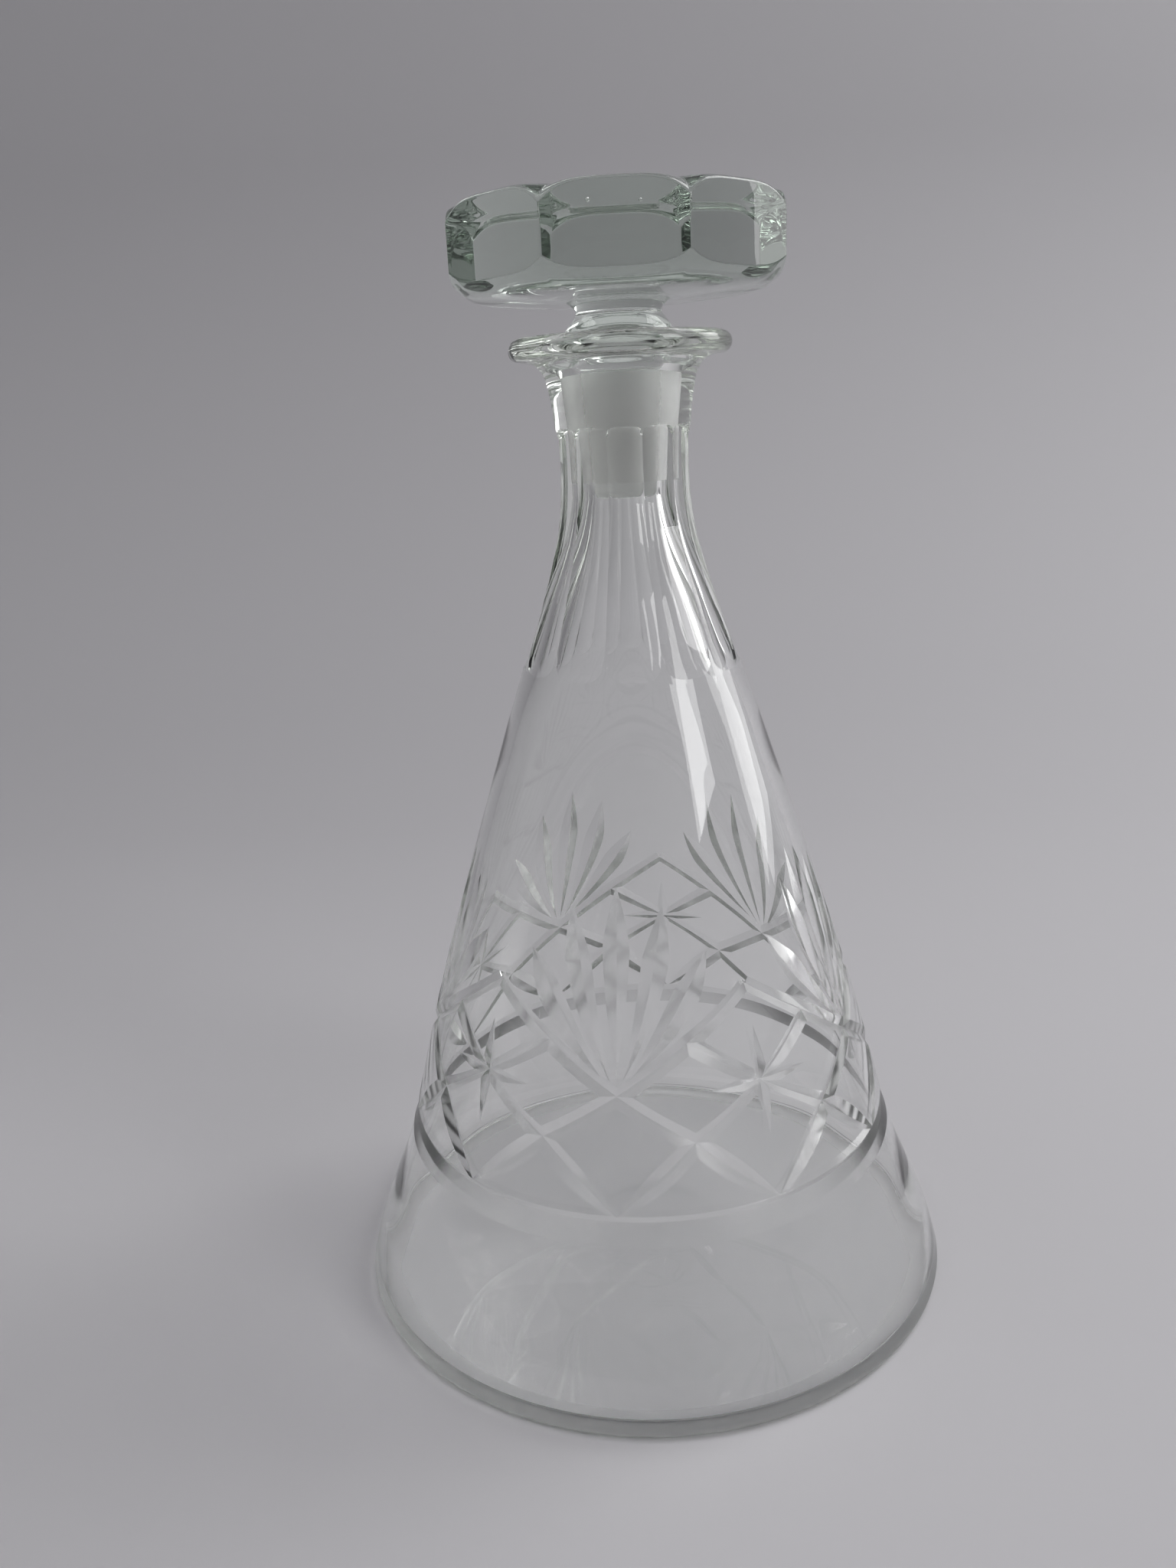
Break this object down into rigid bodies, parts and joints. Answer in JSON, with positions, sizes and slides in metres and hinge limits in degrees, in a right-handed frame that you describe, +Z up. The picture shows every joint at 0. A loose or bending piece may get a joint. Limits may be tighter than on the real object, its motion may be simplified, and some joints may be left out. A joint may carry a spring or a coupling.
{
  "type": "cut glass decanter",
  "caption": "Cone-shaped blown glass decanter with a fluted neck, a band of cut fans and stars, and a ground-in faceted stopper that lifts out.",
  "frame": {"origin": "centre of the flat base, on the surface that the decanter stands on", "axes": "+Z up along the bottle's axis; -Y faces the picture's viewer, +X to the viewer's right"},
  "size_m": [0.152, 0.152, 0.2609],
  "materials": {
    "bottle_glass": "clear blown soda-lime glass with a faint grey-green tint, polished V cuts, ground mouth",
    "stopper_glass": "clear solid glass with a faint grey-green tint, polished facets, a ground matt plug and small bubbles"
  },
  "bodies": {
    "bottle": {"bottle": "bottle_glass"},
    "stopper": {"stopper": "stopper_glass"}
  },
  "joints": [
    {"name": "stopper_lift", "type": "slide", "parent": "bottle", "child": "stopper", "axis": [0, 0, 1], "range_m": [0, 0.06]}
  ]
}
